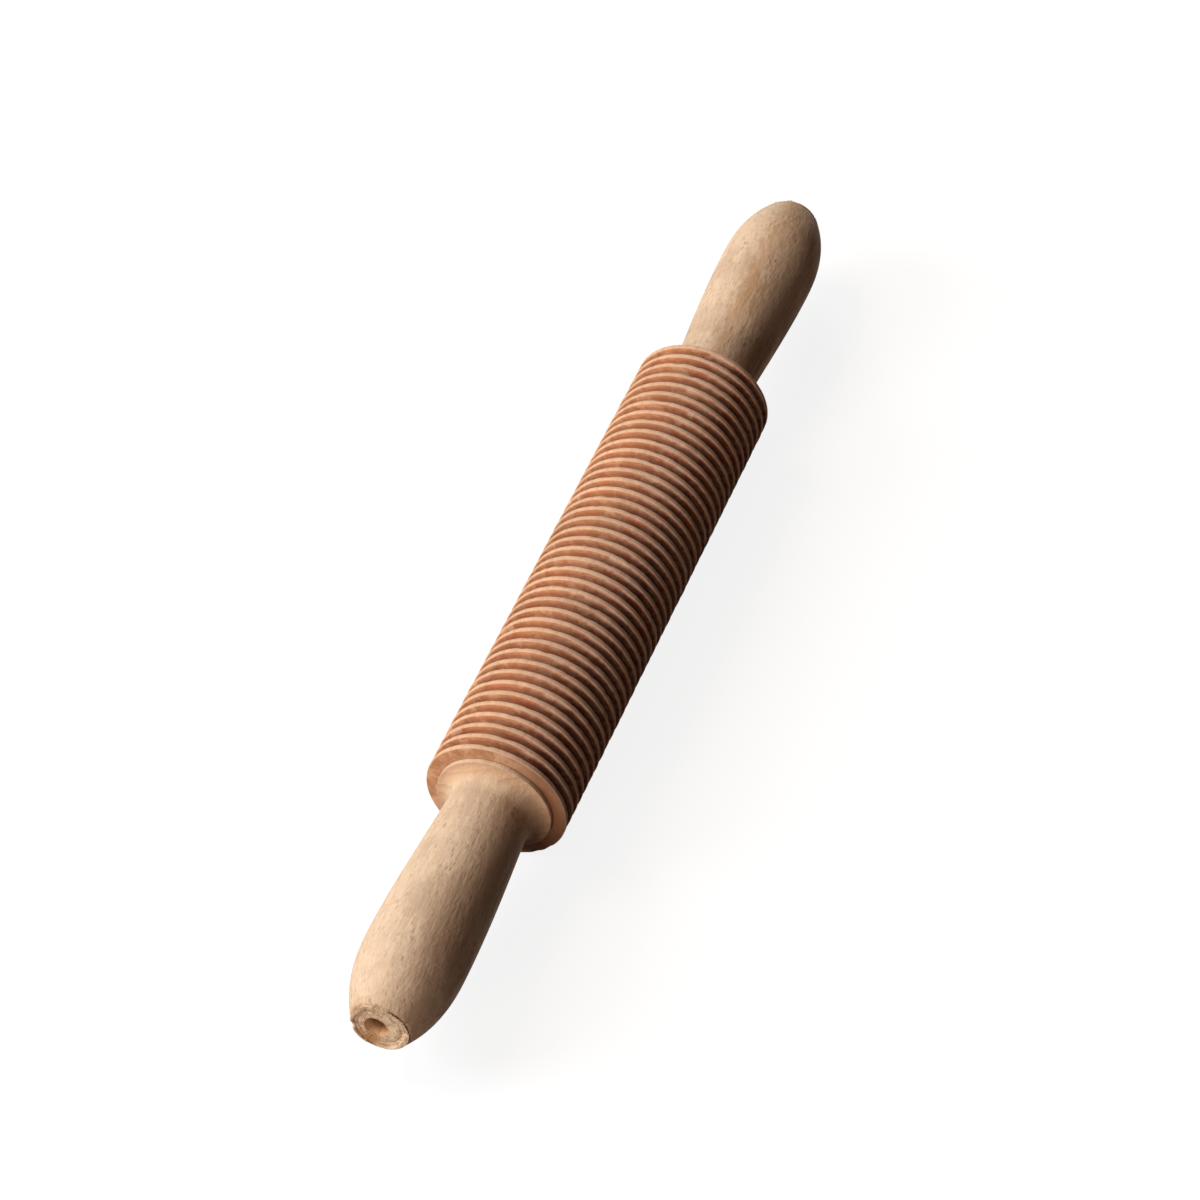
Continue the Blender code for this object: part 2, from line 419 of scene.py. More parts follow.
def tip_corners():
    """Lip, sunken face and mouth of the hole, in mm: (distance in from the end, radius, rounding)."""
    return [
        (0.85, body_radius(tip_end - 0.85), 0.12),
        (0.58, body_radius(tip_end - 0.58) - 0.10, 0.10),
        (0.34, body_radius(tip_end - 0.34) - 0.06, 0.08),
        (0.00, 8.18, 0.14),
        (0.00, 7.75, 0),
        (0.02, 7.30, 0.14),
        (0.44, 6.95, 0.12),
        (0.52, 6.40, 0),
        (0.66, 5.95, 0.15),
        (0.42, 5.45, 0.12),
        (0.36, 4.90, 0),
        (0.47, 4.45, 0),
        (0.38, 4.00, 0),
        (0.42, 3.55, 0),
        (0.50, 3.20, 0.12),
        (1.00, 2.95, 0.15),
    ]


def handle_outline():
    """Along the outside from the collar to the tip, then back through the three holes."""
    outside = [(rim_start, collar_radius, 0.1), (collar_back, collar_radius, 0.28)]
    for step in range(1, 15):
        turn = math.pi / 2 * step / 14
        along = neck - (neck - collar_back) * math.cos(turn)
        outside.append((along, collar_radius - (collar_radius - neck_radius) * math.sin(turn), 0))
    smooth_end = handle_end - 4.0
    for along in np.linspace(neck, smooth_end, 66)[1:]:
        outside.append((along, body_radius(along), 0))
    for along in np.linspace(smooth_end, tip_end - 1.1, 11)[1:]:
        outside.append((along, body_radius(along), 0))
    tip = [(tip_end - inward, radius, back) for inward, radius, back in tip_corners()]
    down_the_wall = (1.3, 1.7, 2.2, 3.0, 4.0, 5.5, 7.5, 10.0)
    wall = [(tip_end - inward, hole_radius, 0) for inward in down_the_wall]
    inside = [
        (web_outer, hole_radius, 0.2),
        (web_outer, screw_hole_radius, 0.1),
        (web_inner, screw_hole_radius, 0.1),
        (web_inner, axle_hole_radius, 0.2),
        (handle_start, axle_hole_radius, 0.2),
        (handle_start, collar_radius - 3.0, 0.2),
        (rim_start, collar_radius - 2.4, 0.2),
    ]
    return soften(outside + tip + wall + inside)


print("a handle's outline has", len(handle_outline()), "points")

# %% [markdown]
# Wood that has dried is never quite round, so the body gets a slow unevenness of a few hundredths of a
# millimetre. The torn lip gets the fast kind. Along some stretches it is broad, along others it has frayed
# to a thin row of splinters, and in one place it has gone altogether. Those places are listed for each
# tip, and chance adds the small splinters. On one side the fibres were pulled out and stand proud of
# the cut, on another a chip has left the rim. The hole was bored by hand, so its ragged mouth is a little
# off centre.

# %% Choose the torn places
# Angles are in radians from the top towards +Y. Each row says where, how far round, and by how many
# millimetres the lip is wider, lower and frayed there.
left_tears = [
    (0.95, 0.42, 0.75, 0.00, 0.05),
    (0.10, 0.22, 0.30, 0.08, 0.10),
    (-0.85, 0.48, -0.45, 0.00, 0.85),
    (-1.95, 0.34, 0.85, 0.02, 0.06),
    (1.78, 0.12, 0.20, 0.50, 0.10),
    (2.90, 0.65, -0.45, 0.22, 0.12),
]
right_tears = [
    (2.20, 0.40, 0.70, 0.05, 0.05),
    (0.60, 0.50, -0.40, 0.02, 0.70),
    (-1.20, 0.30, 0.60, 0.00, 0.08),
    (-2.60, 0.16, 0.10, 0.45, 0.10),
]
tips = {
    "left": {"facing": -1, "seed": 11, "chip": 1.02, "mouth": 2.20, "groove": -1.7, "tears": left_tears},
    "right": {"facing": 1, "seed": 23, "chip": -1.9, "mouth": 0.70, "groove": 2.0, "tears": right_tears},
}


def chipped_share(inward, turn, place):
    """1 in the chip at the rim, and 0 away from it."""
    return hump(inward - 0.45, 0.70) * hump_round(turn, place, 0.26)


print("tears on each tip:", len(left_tears), "and", len(right_tears))

# %% Tear the tip and loosen the body


def tear_tip(tip):
    """A reshape for one handle, from its entry in tips."""
    dice = np.random.default_rng(tip["seed"])

    def reshape(along, radius, turn):
        round_once = turn[0]
        inward = tip_end - along
        outside = radius > lip_radius

        # The body is a little out of round, and its shape twists slowly on the way to the tip.
        share = np.clip((along - neck) / (handle_end - neck), 0, 1)
        slow = 0.0 * along
        for _ in range(6):
            twist = dice.uniform(0, math.tau) + dice.uniform(1, 7) * share
            slow += 0.022 * dice.normal() * np.cos(dice.integers(1, 4) * turn + twist)
        new_radius = radius + slow * outside * np.minimum(1, share * 12)

        # Round the tip, each tear makes the lip wider, lower and more frayed.
        wider = 0.10 * waves(round_once, range(3, 30, 2), dice)
        lower = 0.02 * np.abs(waves(round_once, range(18, 90, 5), dice))
        frayed = 0.06
        for place, spread, wider_by, lower_by, frayed_by in tip["tears"]:
            here = hump_round(round_once, place, spread)
            wider = wider + wider_by * here
            lower = lower + lower_by * here
            frayed = frayed + frayed_by * here
        coarse = np.abs(waves(round_once, range(21, 63, 3), dice))
        splinters = frayed * (0.9 * coarse + 0.35 * np.abs(dice.normal(size=len(round_once))))

        # The lip stands proud near the hole's mouth and is worn down elsewhere, and its rim is ragged.
        lip = hump(inward, 0.32) * hump(radius - lip_radius, 0.62)
        proud = 0.60 * hump_round(round_once, tip["mouth"] + 0.3, 1.1)
        new_along = along + lip * (proud - lower - 0.8 * splinters)
        rim = hump(inward - 0.15, 0.45) * (radius > 7.6)
        new_radius -= rim * (0.8 * lower + 0.6 * splinters)
        new_radius -= hump(radius - 7.0, 0.60) * (inward < 1.2) * (wider - 0.5 * splinters)

        # Behind the lip the fibres have shrunk back, and a chip has left the rim.
        undercut = hump(inward - 0.60, 0.20) * (radius > 8.0)
        new_radius -= undercut * (0.02 + 0.80 * frayed) * (1 + waves(round_once, range(1, 14), dice))
        new_radius -= outside * 0.50 * chipped_share(inward, turn, tip["chip"])

        # Torn fibres fill most of the groove between lip and face, and the face itself is rough.
        groove = hump(radius - groove_radius, 0.65) * (inward > 0.3) * (inward < 0.9)
        new_along += groove * 0.26 * (1 - hump_round(turn, tip["groove"], 1.0))
        face = (radius < face_radius) * (radius > 3.0) * (inward < 0.8)
        new_along -= face * 0.13 * np.abs(waves(round_once, range(3, 60, 3), dice))

        # The hole's mouth lies off centre and is ragged, and its wall is a little uneven.
        near_mouth = (radius < 5.6) * (inward < 3.2)
        fading = hump(np.maximum(0, inward - 0.5), 1.2) * np.clip(1 - (radius - 3.2) / 2.4, 0, 1)
        new_radius += near_mouth * fading * 1.25 * np.cos(turn - tip["mouth"])
        mouth = hump(inward - 0.7, 0.9) * (radius < 3.7)
        new_radius += mouth * 0.10 * waves(round_once, range(2, 12), dice)
        wall = (radius < 3.1) * (inward < 11.5) * (inward > 1.2)
        new_radius += wall * 0.02 * waves(round_once, range(2, 20, 2), dice)
        return new_along, new_radius

    return reshape


def mirrored(reshape):
    """The same reshape for a piece that points towards -X."""

    def turned_about(along, radius, turn):
        new_along, new_radius = reshape(-along, radius, turn)
        return -new_along, new_radius

    return turned_about


def end_piece(name, facing, outline, columns, reshape, closed=True):
    """A turned piece for the right end, or its mirror image for the left one, where facing is -1."""
    if facing < 0:
        outline = [(-along, radius) for along, radius in outline]
        reshape = mirrored(reshape)
    return turned_piece(name, outline, columns, reshape, closed)


print("the lip stands", round(lip_radius - face_radius, 2), "mm outside the sunken face")

# %% Mark the sawn, torn and bored places and the tip's painted shade
handle_columns = 256


def mark_tip(piece, points, tip):
    """Store where the wood of a tip is sawn, torn, chipped, bored or scorched, and where shade is painted
    at the lip's foot, in the chip, behind the lip and down the hole.
    """
    inward = (tip_end - np.abs(points[:, 0]))[:, None]
    radius = points[:, 1][:, None]
    turn = np.arange(handle_columns)[None] * math.tau / handle_columns
    everywhere = 1.0 + 0.0 * turn
    cut = hump(np.maximum(0, inward - 0.3), 0.5) * (radius < 8.6)
    fresh = 0.30 * everywhere
    for place, spread, *_ in tip["tears"]:
        fresh = np.maximum(fresh, hump_round(turn, place, 1.2 * spread))
    lip = hump(inward, 0.5) * hump(radius - lip_radius, 0.6) * fresh
    # Painted shade in the groove at the lip's foot, strongest where the torn fibres leave the groove open.
    foot = hump(radius - 6.65, 0.42) * (inward > 0.3) * (inward < 1.0)
    bored = (radius < 3.4) * (inward > 0.45)
    broken = hump_round(turn, tip["mouth"], 0.52) * (radius < 4.2) * (inward < 4.0)
    # Painted shade in the chip that has left the rim.
    chip_shade = chipped_share(inward, turn, tip["chip"]) * (radius > lip_radius)
    ragged = 0.65 + 0.22 * waves(turn, range(15, 60, 4), np.random.default_rng(tip["seed"]))
    # Painted shade in the undercut behind the lip.
    undercut_shade = hump(inward - ragged, 0.28) * (radius > lip_radius) * (0.3 + 0.7 * fresh)
    foot = foot * (0.15 + 0.85 * hump_round(turn, tip["groove"], 0.45))
    scorched = hump_round(turn, tip["mouth"] + 0.45, 0.55) * (radius > 3.0) * (radius < 7.9)
    marks = {
        "sawn_face": cut,
        "torn_lip": lip,
        "lip_foot_shade": foot,
        "bored_hole": np.maximum(bored, broken),
        "chip_shade": np.maximum(chip_shade, undercut_shade),
        # Painted shade that deepens down the hole.
        "hole_depth_shade": np.clip((inward - 1.0) / 4.0, 0, 1) * (radius < 3.4),
        "scorched": scorched * (inward < 1.1) * (inward > 0.1),
    }
    for name, values in marks.items():
        mark(piece, name, values * everywhere)
    print(piece.name, "is chipped on", round(100 * float((chip_shade > 0.5).mean()), 2), "% of its points")


# %% Turn the two handles
handles = {}
for side, tip in tips.items():
    name = side + "_turned_handle"
    piece, points = end_piece(name, tip["facing"], handle_outline(), handle_columns, tear_tip(tip))
    handles[side] = piece
    mark_tip(piece, points, tip)
    mark_end_grain(piece)
    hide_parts(side + "_handle")
    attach(piece, "handles_and_axle")
    print("the", side, "handle's box in mm:", [round(edge / MM, 2) for edge in piece.dimensions])

# %% [markdown]
# ## The screws
#
# At the bottom of each handle's end hole sits an M3 socket head screw that pulls the handle onto the
# axle. Little of it shows, but it is a well-known shape: a knurled head with a hexagon in it, and a
# rolled thread. A screw is one swept outline whose radius changes with the angle. The knurl is 28 small
# waves round the head, the hexagon is the distance to the nearest of six flats, and the thread is a wave
# that slips by one pitch in each turn.

# %% Make the socket head screws
thread_pitch = 0.5
thread_depth = 0.252
screw_radius = 1.5
head_radius = 2.7
head_height = 3.0
knurl_count = 28
knurl_depth = 0.09
socket_flat = 1.25
socket_depth = 1.3
screw_columns = 112


def hexagon_radius(turn):
    """The distance from the axis to a hexagon's side, in the direction of turn."""
    return socket_flat / np.cos((turn % (math.pi / 3)) - math.pi / 6)


def screw_outline(head_seat, tip):
    """From the floor of the socket over the head and down the thread to the tip. Radius 0 is the axis."""
    top = head_seat + head_height
    floor = top - socket_depth
    head = [
        (floor, 0.0, 0),
        (floor, 1.2, 0),
        (floor + 0.05, socket_flat, 0),
        (top - 0.12, socket_flat, 0),
        (top, 1.42, 0.05),
        (top, head_radius - 0.3, 0.08),
        (top - 0.25, head_radius, 0.08),
        (top - 1.4, head_radius, 0),
        (head_seat + 0.35, head_radius, 0.1),
        (head_seat, head_radius - 0.25, 0.08),
        (head_seat, screw_radius, 0.1),
    ]
    run = np.arange(head_seat - 0.3, tip + 0.25, -thread_pitch / 5)
    thread = [(along, screw_radius, 0) for along in run]
    end = [(tip, screw_radius - 0.35, 0.08), (tip, 0.0, 0)]
    return soften(head + thread + end, steps=2)


def shape_screw(head_seat, tip):
    """A reshape that knurls the head, sinks the hexagon and rolls the thread."""

    def reshape(along, radius, turn):
        new_radius = radius.copy()
        in_socket = (along > head_seat + 1.0) & (radius > 1.1) & (radius < 1.3)
        new_radius[in_socket] *= (hexagon_radius(turn) / socket_flat)[in_socket]
        knurl = (radius > head_radius - 0.05) & (along < head_seat + 2.7) & (along > head_seat)
        new_radius[knurl] -= (knurl_depth * np.abs(np.sin(knurl_count / 2 * turn)))[knurl]
        rolled = (np.abs(radius - screw_radius) < 0.02) & (along < head_seat - 0.2)
        phase = (along / thread_pitch + turn / math.tau) % 1.0
        fade = np.clip((along - tip) / (2 * thread_pitch), 0.3, 1)
        new_radius[rolled] -= (thread_depth * np.abs(2 * phase - 1) / fade)[rolled]
        return along, np.maximum(new_radius, 0.0)

    return reshape


for side, facing in (("left", -1), ("right", 1)):
    low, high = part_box(side + "_handle_screw")
    tip = min(abs(low[0]), abs(high[0])) / MM
    head_seat = max(abs(low[0]), abs(high[0])) / MM - head_height
    outline = screw_outline(head_seat, tip)
    reshape = shape_screw(head_seat, tip)
    screw, _ = end_piece(side + "_socket_screw", facing, outline, screw_columns, reshape, closed=False)
    work = bmesh.new()
    work.from_mesh(screw.data)
    bmesh.ops.remove_doubles(work, verts=work.verts, dist=0.002 * MM)
    bmesh.ops.recalc_face_normals(work, faces=work.faces)
    work.to_mesh(screw.data)
    work.free()
    screw.data.set_sharp_from_angle(angle=math.radians(50))
    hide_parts(side + "_handle_screw")
    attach(screw, "handles_and_axle")
    handles[side + "_screw"] = screw
    print(side, "screw from", round(tip, 2), "to", round(head_seat + head_height, 2), "mm")

# %% [markdown]
# ## Finishes from node groups
#
# Wood, steel and nylon share several effects. Each effect is one node group with named inputs, built once,
# and a material places it with its own values. A few short helpers keep the wiring readable: one adds a
# node and feeds its sockets, and the others wrap the nodes that come up again and again. The sizes in the
# materials are in metres, as Blender's positions are, apart from the heights of the bumps.

# %% Wiring helpers


def wire(tree, kind, feeds, **options):
    """Add a node, set its options and feed its sockets with values or with other nodes' outputs."""
    node = tree.nodes.new(kind)
    for option, value in options.items():
        setattr(node, option, value)
    for socket, value in feeds.items():
        if isinstance(value, bpy.types.NodeSocket):
            tree.links.new(value, node.inputs[socket])
        else:
            node.inputs[socket].default_value = value
    return node


def calc(tree, operation, first, second=0.0, third=0.0):
    """One step of arithmetic."""
    return wire(tree, "ShaderNodeMath", {0: first, 1: second, 2: third}, operation=operation).outputs[0]


def times(tree, first, second):
    """One number multiplied by another, which also lets one mask cut down another."""
    return calc(tree, "MULTIPLY", first, second)


def scaled(tree, vector, factors):
    """A vector with each of its parts multiplied by its own factor."""
    return wire(tree, "ShaderNodeVectorMath", {0: vector, 1: factors}, operation="MULTIPLY").outputs[0]


def shifted(tree, vector, step, operation="ADD"):
    """A vector moved by a step, or back by it with SUBTRACT."""
    return wire(tree, "ShaderNodeVectorMath", {0: vector, 1: step}, operation=operation).outputs[0]


def split(tree, vector):
    """The X, Y and Z of a vector."""
    return wire(tree, "ShaderNodeSeparateXYZ", {0: vector}).outputs


def in_steps(tree, parts, *steps):
    """A place measured along X, Y and Z in steps of three different lengths, which draws a pattern out."""
    feeds = {axis: calc(tree, "DIVIDE", parts[axis], step) for axis, step in enumerate(steps)}
    return wire(tree, "ShaderNodeCombineXYZ", feeds).outputs[0]


def out_from_axis(tree, y, z):
    """The distance of a point from the X axis."""
    return calc(tree, "SQRT", calc(tree, "MULTIPLY_ADD", y, y, times(tree, z, z)))


def cloud(tree, vector, detail=2.0, roughness=0.5):
    """Soft noise of size 1, from about 0.3 to 0.7."""
    feeds = {"Vector": vector, "Scale": 1.0, "Detail": detail, "Roughness": roughness}
    return wire(tree, "ShaderNodeTexNoise", feeds).outputs[0]


def lines(tree, place, scale=1.0, detail=2.0):
    """Soft noise that changes along one number only."""
    feeds = {"W": place, "Scale": scale, "Detail": detail}
    return wire(tree, "ShaderNodeTexNoise", feeds, noise_dimensions="1D").outputs[0]


def ramp(tree, value, low, high, to_low=0.0, to_high=1.0):
    """Ease a value from one range into another, and stay inside it."""
    feeds = {"Value": value, "From Min": low, "From Max": high, "To Min": to_low, "To Max": to_high}
    return wire(tree, "ShaderNodeMapRange", feeds, interpolation_type="SMOOTHSTEP").outputs[0]


def tint(tree, share, plain, other, blend="MIX"):
    """Go from one colour to another by a share."""
    feeds = {0: share, 6: plain, 7: other}
    return wire(tree, "ShaderNodeMix", feeds, data_type="RGBA", blend_type=blend).outputs[2]


def stained(tree, colour, *stains):
    """Lay stains over a colour, one after the other. Each is (mask, strength, its own colour)."""
    for mask, strength, stain in stains:
        colour = tint(tree, times(tree, mask, strength), colour, (*stain, 1))
    return colour


print("node trees with effects so far:", len(bpy.data.node_groups))

# %% Start a node group and place it


def new_group(name, inputs):
    """Start a node group. An input's kind follows from its value, and None asks for a vector."""
    tree = bpy.data.node_groups.new(name, "ShaderNodeTree")
    for label, value in inputs.items():
        kind = "NodeSocketFloat" if isinstance(value, float) else "NodeSocketVector"
        socket = tree.interface.new_socket(label, in_out="INPUT", socket_type=kind)
        if value is not None:
            socket.default_value = value
    return tree, tree.nodes.new("NodeGroupInput").outputs


def close_group(tree, outputs):
    """Give a group its outputs, and say how big it has become."""
    for label, value in outputs.items():
        kind = "NodeSocketVector" if value.type == "VECTOR" else "NodeSocketFloat"
        tree.interface.new_socket(label, in_out="OUTPUT", socket_type=kind)
    wire(tree, "NodeGroupOutput", outputs)
    print(tree.name + ":", len(tree.nodes), "nodes")
    return tree


def place_group(tree, group, **values):
    """Put a group into a material. An underscore in a value's name stands for a space."""
    feeds = {label.replace("_", " "): value for label, value in values.items()}
    return wire(tree, "ShaderNodeGroup", feeds, node_tree=group).outputs


print("finishes that the pack brought:", sorted(material.name for material in bpy.data.materials))

# %% [markdown]
# ### Where a point lay in the tree
#
# A board's figure is a cut through the tree's rings, so the surest way to believable grain is to work out
# where each point of the piece once lay in the trunk: how far along it, how far out from the heart, and
# how far round. The pin's X runs along the trunk. The heart lies some centimetres to one side of the
# piece, because turners avoid it. A slow wander bends the rings, as no trunk is straight.

# %% Group: place in the trunk
tree, given = new_group(
    "place_in_the_trunk",
    {"Position": None, "Heart": (0.0, 0.0, -0.05), "Wander": 0.002, "Shift": (0.0, 0.0, 0.0)},
)
moved = shifted(tree, given["Position"], given["Shift"])
bend_feeds = {"Vector": scaled(tree, moved, (9, 34, 34)), "Scale": 1.0, "Detail": 2.0}
bend = wire(tree, "ShaderNodeTexNoise", bend_feeds).outputs[1]
centred = shifted(tree, bend, (0.5, 0.5, 0.5), "SUBTRACT")
bend_by = wire(tree, "ShaderNodeVectorMath", {0: centred, 3: given["Wander"]}, operation="SCALE").outputs[0]
from_heart = shifted(tree, shifted(tree, given["Position"], bend_by), given["Heart"], "SUBTRACT")
parts = split(tree, from_heart)
outward = out_from_axis(tree, parts[1], parts[2])
arc = times(tree, calc(tree, "ARCTAN2", parts[1], parts[2]), 0.05)
in_trunk = wire(tree, "ShaderNodeCombineXYZ", {0: parts[0], 1: outward, 2: arc}).outputs[0]
trunk_group = close_group(tree, {"In Trunk": in_trunk, "Radius": outward})

# %% [markdown]
# ### Year rings, ray flecks and fibres
#
# Beech has three marks that tell it from other woods. Its year rings are faint and end in a thin darker
# line. Its rays show as short dark dashes along the grain where the cut follows the rings, and as broad
# paler flakes where it crosses them. And its fibres are fine, long and straight. The rays get their shape
# from one cell pattern that is stretched along and out from the heart, so dashes and flakes both come out
# of it by themselves, wherever the surface is cut.

# %% Group: year rings
tree, given = new_group(
    "year_rings",
    {"In Trunk": None, "Radius": 0.05, "Ring Width": 0.002, "Sharpness": 3.0},
)
count = calc(tree, "DIVIDE", given["Radius"], given["Ring Width"])
count = calc(tree, "MULTIPLY_ADD", lines(tree, count, 0.35, 1.0), 2.2, count)
within = calc(tree, "FRACT", count)
late = calc(tree, "POWER", within, given["Sharpness"])
end_of_ring = ramp(tree, within, 1.0, 0.93)
late = times(tree, late, end_of_ring)
year = calc(tree, "FLOOR", count)
good_year = wire(tree, "ShaderNodeTexWhiteNoise", {"W": year}, noise_dimensions="1D").outputs[0]
late = times(tree, late, ramp(tree, good_year, 0.0, 1.0, 0.45, 1.0))
slow = cloud(tree, scaled(tree, given["In Trunk"], (12, 160, 160)), 3.0)
rings_group = close_group(tree, {"Late Wood": late, "Slow Change": slow})

# %% Group: ray flecks
tree, given = new_group(
    "ray_flecks",
    {"In Trunk": None, "Length": 0.002, "Thickness": 0.0003, "Depth": 0.004, "Amount": 0.35},
)
parts = split(tree, given["In Trunk"])
cell = in_steps(tree, parts, given["Length"], given["Depth"], given["Thickness"])
cells = wire(tree, "ShaderNodeTexVoronoi", {"Vector": cell, "Scale": 1.0}).outputs
softness = 0.09
outer_edge = calc(tree, "ADD", given["Amount"], softness)
inner_edge = calc(tree, "SUBTRACT", given["Amount"], softness)
fleck = ramp(tree, cells["Distance"], outer_edge, inner_edge)
strength = wire(tree, "ShaderNodeSeparateColor", {0: cells["Color"]}).outputs[0]
drift = ramp(tree, cloud(tree, scaled(tree, given["In Trunk"], (70, 260, 260)), 2.0), 0.36, 0.64, 0.25, 1.0)
fleck = times(tree, fleck, ramp(tree, strength, 0.25, 1.0))
flecks_group = close_group(tree, {"Fleck": times(tree, fleck, drift)})

# %% Group: fibres and pores
tree, given = new_group(
    "fibres_and_pores",
    {"Position": None, "Length": 0.012, "Width": 0.0004, "Pore Size": 0.0003, "Shift": (0.0, 0.0, 0.0)},
)
parts = split(tree, shifted(tree, given["Position"], given["Shift"]))
width = given["Width"]
bundle = times(tree, width, 3.0)
streak = cloud(tree, in_steps(tree, parts, given["Length"], bundle, bundle), 3.0, 0.6)
fine = cloud(tree, in_steps(tree, parts, times(tree, given["Length"], 0.3), width, width), 2.0, 0.6)
pore = given["Pore Size"]
pore_place = in_steps(tree, parts, times(tree, pore, 14.0), pore, pore)
pores = wire(tree, "ShaderNodeTexVoronoi", {"Vector": pore_place, "Scale": 1.0}).outputs["Distance"]
outputs = {
    "Streak": ramp(tree, streak, 0.3, 0.7),
    "Fine Streak": ramp(tree, fine, 0.3, 0.7),
    "Pore": ramp(tree, pores, 0.42, 0.12),
}
fibres_group = close_group(tree, outputs)

# %% [markdown]
# ### Tool marks and handling
#
# A turning tool leaves fine lines that run round the sides and in circles on the faces. Both are the same
# noise, read once by the distance along the pin and once by the distance from its axis, and the surface's
# direction picks between them. Handling leaves soft patches where hands and flour have been, and a few
# small dark specks. These two groups serve the steel and the nylon as well.

# %% Group: tool marks
tree, given = new_group(
    "tool_marks",
    {"Position": None, "Facing Along": 0.0, "Step": 0.0006, "Break Up": 0.5},
)
parts = split(tree, given["Position"])
on_side = calc(tree, "DIVIDE", parts[0], given["Step"])
on_face = calc(tree, "DIVIDE", out_from_axis(tree, parts[1], parts[2]), given["Step"])
facing = ramp(tree, given["Facing Along"], 0.5, 0.85)
feeds = {0: facing, 2: lines(tree, on_side), 3: lines(tree, on_face)}
scratches = wire(tree, "ShaderNodeMix", feeds, data_type="FLOAT").outputs[0]
patchy = cloud(tree, scaled(tree, given["Position"], (300, 300, 300)), 2.0)
patchy = ramp(tree, patchy, 0.3, 0.65, calc(tree, "SUBTRACT", 1.0, given["Break Up"]), 1.0)
tool_mark = times(tree, calc(tree, "SUBTRACT", scratches, 0.5), patchy)
tool_group = close_group(tree, {"Mark": tool_mark})

# %% Group: handling
tree, given = new_group(
    "handling",
    {"Position": None, "Patch Size": 0.02, "Speck Size": 0.003, "Specks": 0.14, "Shift": (0.0, 0.0, 0.0)},
)
moved = shifted(tree, given["Position"], given["Shift"])


def sized(size):
    """The position measured in steps of size."""
    scale = calc(tree, "DIVIDE", 1.0, size)
    return wire(tree, "ShaderNodeVectorMath", {0: moved, 3: scale}, operation="SCALE").outputs[0]


patch = cloud(tree, scaled(tree, sized(given["Patch Size"]), (0.55, 1, 1)), 4.0, 0.66)
small_patch = sized(times(tree, given["Patch Size"], 0.13))
mottle = cloud(tree, scaled(tree, small_patch, (0.5, 1, 1)), 3.0, 0.6)
long_cell = scaled(tree, sized(given["Speck Size"]), (0.38, 1, 1))
speck = wire(tree, "ShaderNodeTexVoronoi", {"Vector": long_cell, "Scale": 1.0}).outputs
each = wire(tree, "ShaderNodeSeparateColor", {0: speck["Color"]}).outputs
size = times(tree, each[1], given["Specks"])
speck = ramp(tree, speck["Distance"], size, times(tree, size, 0.3))
outputs = {
    "Patch": ramp(tree, patch, 0.32, 0.68),
    "Speck": times(tree, speck, each[2]),
    "Mottle": ramp(tree, mottle, 0.3, 0.7),
}
handling_group = close_group(tree, outputs)

# %% [markdown]
# ## The roller's wood
#
# The tops of the rings show long grain, pale and honey coloured, while their flanks show end grain. End
# grain drinks in light and finish, so the same wood looks much redder and darker there. Deeper in the
# groove it is darker still, partly where the cutter rubbed and no sandpaper came and partly as painted
# shade. The material changes from the pale wood to the red one just below a ring's top, along a ragged
# line, and then darkens towards the groove's bottom. Both come from the depth that the mesh carries. On
# the side towards -Y, which is in shade, the ring tops are greyer and the flanks paler, partly as the
# wood's own tone and partly as painted light. The grooves carry painted light and shade: they are palest
# in a strip beside the top on the +Y side, and darkest low on the -Y side. A painted shadow of the
# handles darkens the roller's end faces towards -Y.

# %% Start a material


def new_material(name):
    """A material with a Principled shader, its tree of nodes and the position in the piece."""
    material = bpy.data.materials.new(name)
    material.use_nodes = True
    tree = material.node_tree
    return material, tree, tree.nodes.new("ShaderNodeTexCoord").outputs["Object"]


def marked(tree, name):
    """What mark() stored in the mesh."""
    return wire(tree, "ShaderNodeAttribute", {}, attribute_name=name).outputs["Fac"]


def finish_material(material, colour, roughness, heights, **settings):
    """Feed the shader, with one bump for each (height, millimetres). The settings are plain numbers."""
    tree = material.node_tree
    shader = tree.nodes["Principled BSDF"]
    tree.links.new(colour, shader.inputs["Base Color"])
    tree.links.new(roughness, shader.inputs["Roughness"])
    for label, value in settings.items():
        shader.inputs[label.replace("_", " ")].default_value = value
    below = {}
    for height, millimetres in heights:
        feeds = {"Height": height, "Strength": 1.0, "Distance": millimetres * MM, **below}
        below = {"Normal": wire(tree, "ShaderNodeBump", feeds).outputs[0]}
    tree.links.new(below["Normal"], shader.inputs["Normal"])
    print(material.name + ":", len(tree.nodes), "nodes")


print("marks that the roller's material can read:", list(roller_marks))

# %% Roller material: effects and places
roller_beech, tree, position = new_material("roller_beech")
trunk = place_group(tree, trunk_group, Position=position, Heart=(0.0, 0.026, -0.047), Wander=0.0045)
inside = {"In_Trunk": trunk["In Trunk"]}
rings = place_group(tree, rings_group, Radius=trunk["Radius"], Ring_Width=0.0026, **inside)
flecks = place_group(tree, flecks_group, Length=0.0016, Thickness=0.0004, Amount=0.34, **inside)
fibres = place_group(tree, fibres_group, Position=position, Length=0.010, Width=0.00042)
handled = place_group(tree, handling_group, Position=position, Patch_Size=0.016, Speck_Size=0.004)
facing_along = marked(tree, "end_grain")
tools = place_group(tree, tool_group, Position=position, Facing_Along=facing_along, Step=0.0004)
deep = marked(tree, "depth")
across = split(tree, position)[1]
print("roller_beech:", len(tree.nodes), "nodes before its colours")
